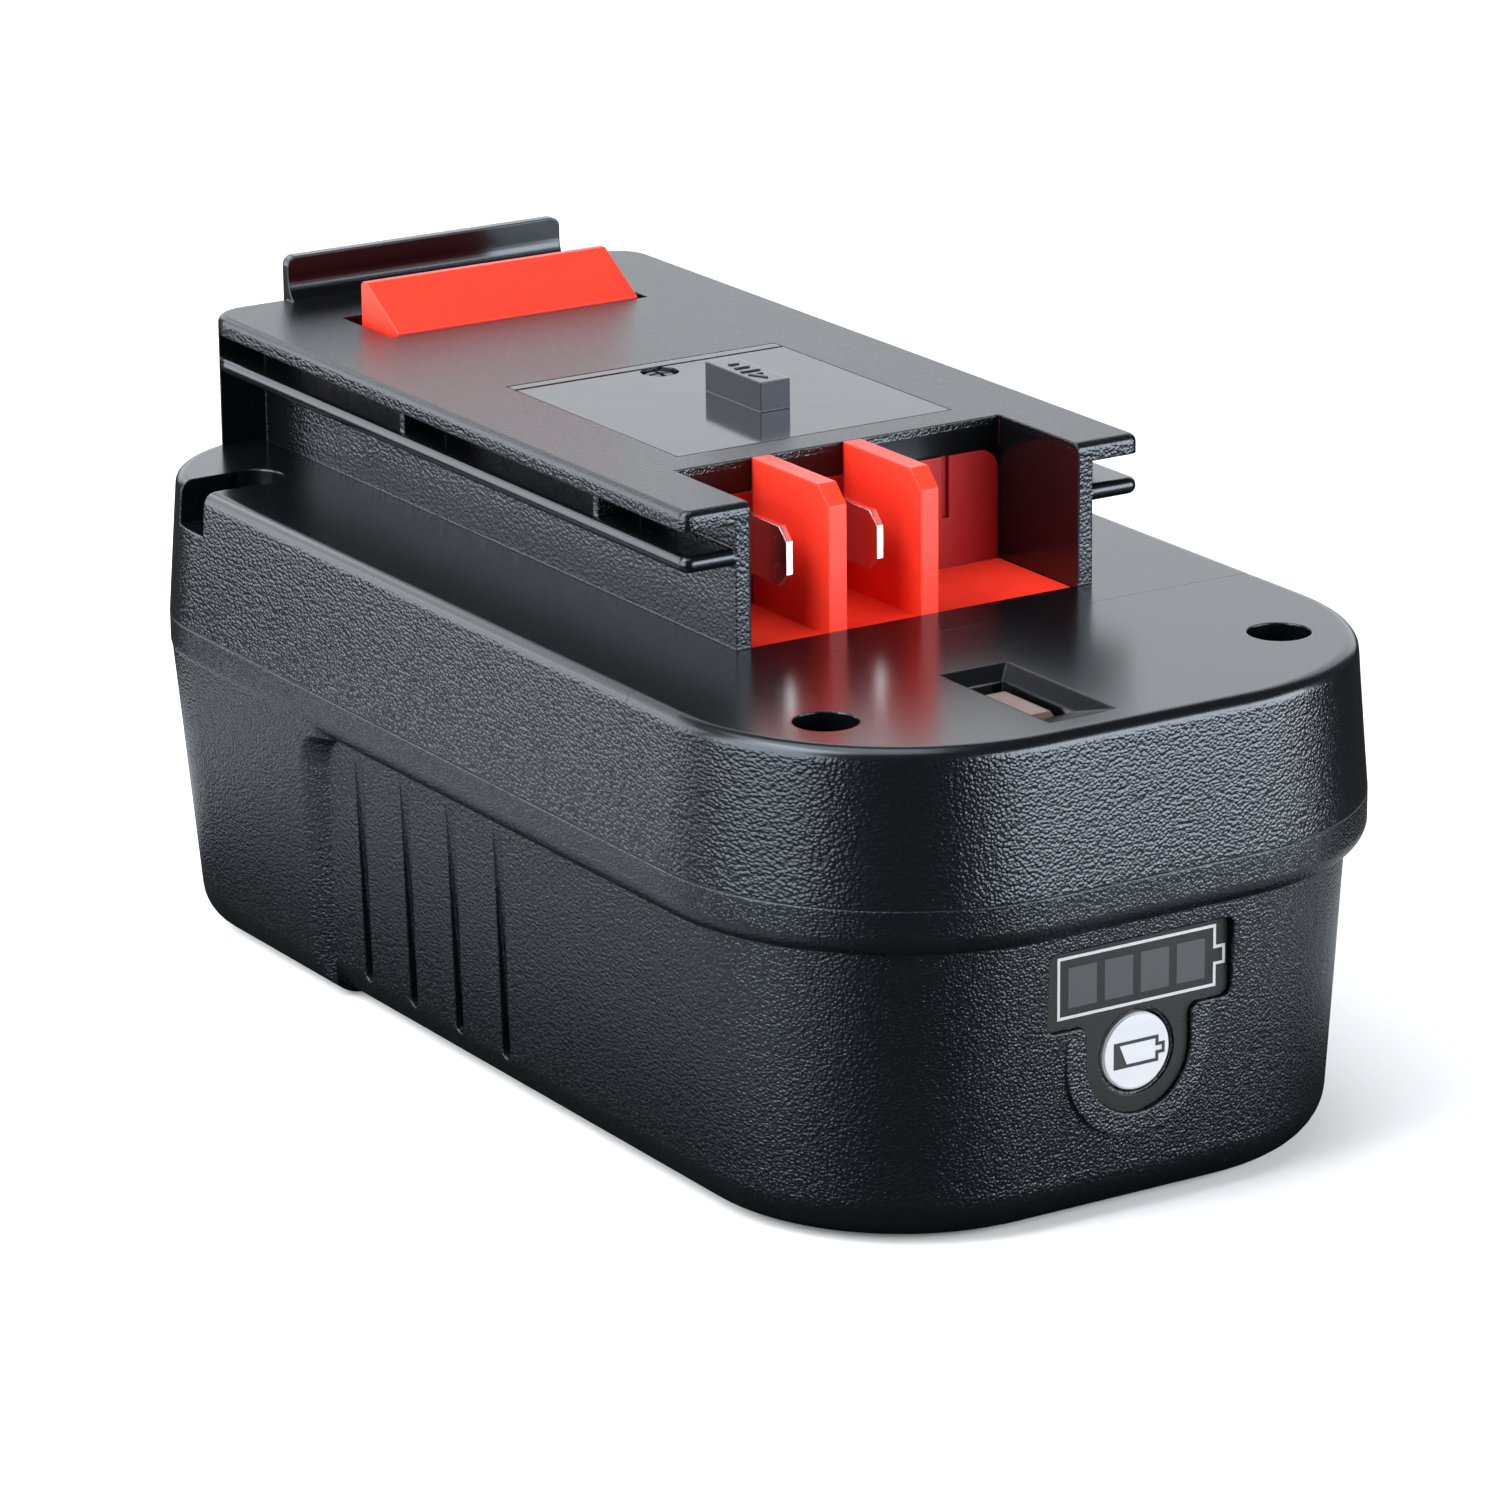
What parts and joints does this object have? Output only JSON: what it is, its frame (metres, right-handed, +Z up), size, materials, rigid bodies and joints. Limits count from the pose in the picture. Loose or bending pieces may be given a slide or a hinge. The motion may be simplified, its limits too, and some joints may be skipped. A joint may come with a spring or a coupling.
{
  "type": "power tool battery pack",
  "caption": "Slide-on battery pack of a cordless power tool: black case with rail tower, red terminal block, sprung latch and a charge gauge with push button.",
  "frame": {"origin": "on the ground under the middle of the case", "axes": "+X towards the gauge end, +Z up out of the deck, +Y to the left when looking along +X"},
  "size_m": [0.1492, 0.0808, 0.0741],
  "materials": {
    "case_plastic": "matte",
    "cover_plastic": "satin",
    "key_plastic": "gloss",
    "screw_steel": "satin",
    "red_plastic": "satin",
    "blade_nickel": "polished",
    "contact_bronze": "satin",
    "retainer_plastic": "matte",
    "spring_steel": "satin",
    "label_film": "satin",
    "guide_plastic": "satin",
    "button_plastic": "satin",
    "circuit_board": "satin",
    "led_plastic": "satin",
    "switch_plastic": "satin",
    "plunger_plastic": "satin",
    "holder_plastic": "satin",
    "cell": "satin",
    "link_nickel": "satin",
    "paper": "matte",
    "wire_sleeve": "satin"
  },
  "bodies": {
    "pack": {"lower_case": "case_plastic", "top_cover": "cover_plastic", "key_plate": "key_plastic", "cover_screws": "screw_steel", "key_screw": "screw_steel", "latch_screws": "screw_steel", "board_screws": "screw_steel", "terminal_block": "red_plastic", "positive_blade": "blade_nickel", "negative_blade": "blade_nickel", "sense_contact": "contact_bronze", "latch_retainer": "retainer_plastic", "latch_spring_left": "spring_steel", "latch_spring_right": "spring_steel", "gauge_label": "label_film", "light_guide": "guide_plastic", "gauge_board": "circuit_board", "protection_board": "circuit_board", "gauge_leds": "led_plastic", "switch_body": "switch_plastic", "power_transistors": "switch_plastic", "control_chip": "switch_plastic", "thermistor": "switch_plastic", "holder_left": "holder_plastic", "holder_right": "holder_plastic", "cell_1": "cell", "cell_2": "cell", "cell_3": "cell", "cell_4": "cell", "cell_5": "cell", "cell_6": "cell", "cell_7": "cell", "cell_8": "cell", "cell_9": "cell", "cell_10": "cell", "link_left_1": "link_nickel", "link_left_2": "link_nickel", "link_left_3": "link_nickel", "link_right_1": "link_nickel", "link_right_2": "link_nickel", "link_right_3": "link_nickel", "paper_left": "paper", "paper_right": "paper", "sense_lead": "wire_sleeve", "gauge_cable": "wire_sleeve"},
    "latch": {"latch": "red_plastic"},
    "gauge_button": {"gauge_button": "button_plastic", "switch_plunger": "plunger_plastic"}
  },
  "joints": [
    {"name": "latch_slide", "type": "slide", "parent": "pack", "child": "latch", "axis": [0, 0, 1], "range_m": [-0.0048, 0], "stiffness_N_per_m": 900, "springref_m": 0.004, "deforming": ["latch_spring_left", "latch_spring_right"]},
    {"name": "gauge_button_press", "type": "slide", "parent": "pack", "child": "gauge_button", "axis": [1, 0, 0], "range_m": [-0.001, 0], "stiffness_N_per_m": 1500, "springref_m": 0.0005}
  ]
}
